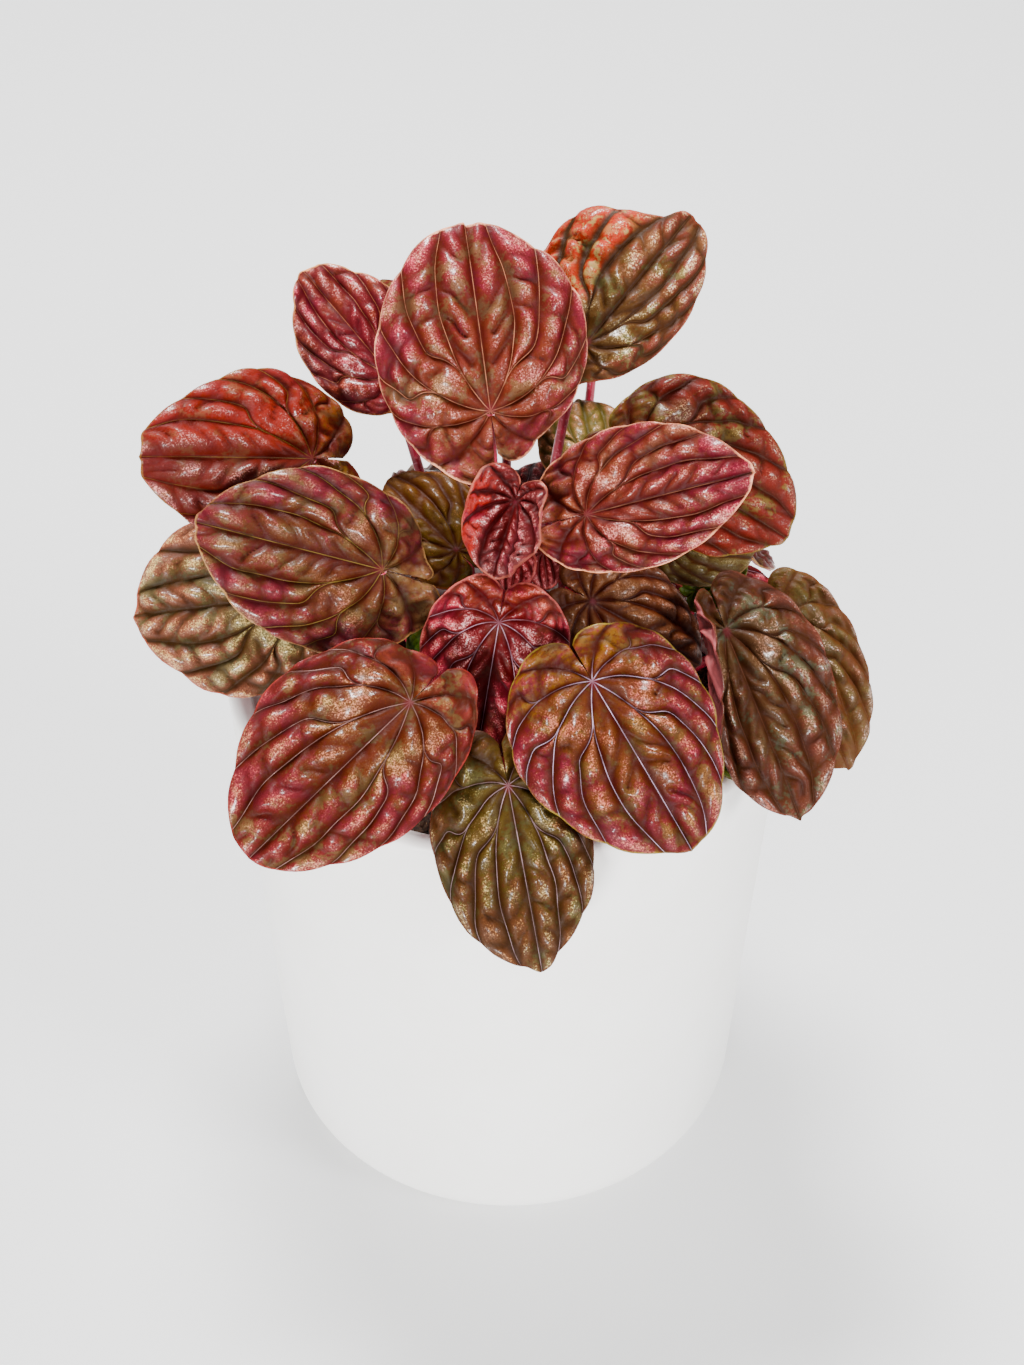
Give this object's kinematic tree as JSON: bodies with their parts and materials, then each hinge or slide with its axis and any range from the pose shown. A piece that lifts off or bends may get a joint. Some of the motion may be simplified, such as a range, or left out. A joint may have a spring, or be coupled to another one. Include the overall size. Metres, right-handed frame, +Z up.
{
  "type": "potted ripple peperomia",
  "caption": "Potted ripple peperomia with deeply quilted heart-shaped leaves in copper, rose and olive on red stalks, in a plain white cover pot.",
  "frame": {"origin": "centre of the flat underside of the pot, on the surface it stands on", "axes": "+Z up along the pot's axis, -Y towards the front of the plant, +X to the right seen from the front"},
  "size_m": [0.1793, 0.1804, 0.2589],
  "materials": {
    "rose_leaf": "waxy satin",
    "red_leaf": "waxy satin",
    "rust_leaf": "waxy satin",
    "bronze_leaf": "waxy satin",
    "olive_leaf": "waxy satin",
    "green_leaf": "waxy satin",
    "crimson_leaf": "waxy satin",
    "soil": "loose crumbs, matt",
    "pot": "satin matt glaze"
  },
  "bodies": {
    "root": {"leaf_crown_front": "rose_leaf", "leaf_crown_right": "red_leaf", "leaf_crown_left": "rose_leaf", "leaf_left_upper": "red_leaf", "leaf_left_middle": "rust_leaf", "leaf_left_lower": "olive_leaf", "leaf_front_left": "rust_leaf", "leaf_front_low": "olive_leaf", "leaf_front_right": "red_leaf", "leaf_heart_front": "crimson_leaf", "leaf_heart_folded": "crimson_leaf", "leaf_right_upper": "rose_leaf", "leaf_right_back": "red_leaf", "leaf_right_dark": "bronze_leaf", "leaf_right_rolled": "bronze_leaf", "leaf_right_outer": "bronze_leaf", "leaf_inner_olive": "olive_leaf", "leaf_inner_green": "green_leaf", "leaf_inner_flat": "olive_leaf", "leaf_inner_lime": "green_leaf", "leaf_low_left": "green_leaf", "leaf_low_right": "green_leaf", "leaf_bud_left": "crimson_leaf", "leaf_bud_right": "crimson_leaf", "leaf_bud_narrow": "crimson_leaf", "leaf_back_crown": "rose_leaf", "leaf_back_high_left": "red_leaf", "leaf_back_high_right": "olive_leaf", "leaf_back_centre": "bronze_leaf", "leaf_back_right": "rust_leaf", "leaf_back_right_low": "crimson_leaf", "leaf_back_left": "red_leaf", "leaf_back_left_low": "olive_leaf", "leaf_rear_left": "rust_leaf", "leaf_rear_right": "bronze_leaf", "leaf_rear_outer_left": "olive_leaf", "leaf_rear_outer_right": "rust_leaf", "leaf_back_inner": "crimson_leaf", "soil": "soil", "pot": "pot"}
  },
  "joints": []
}
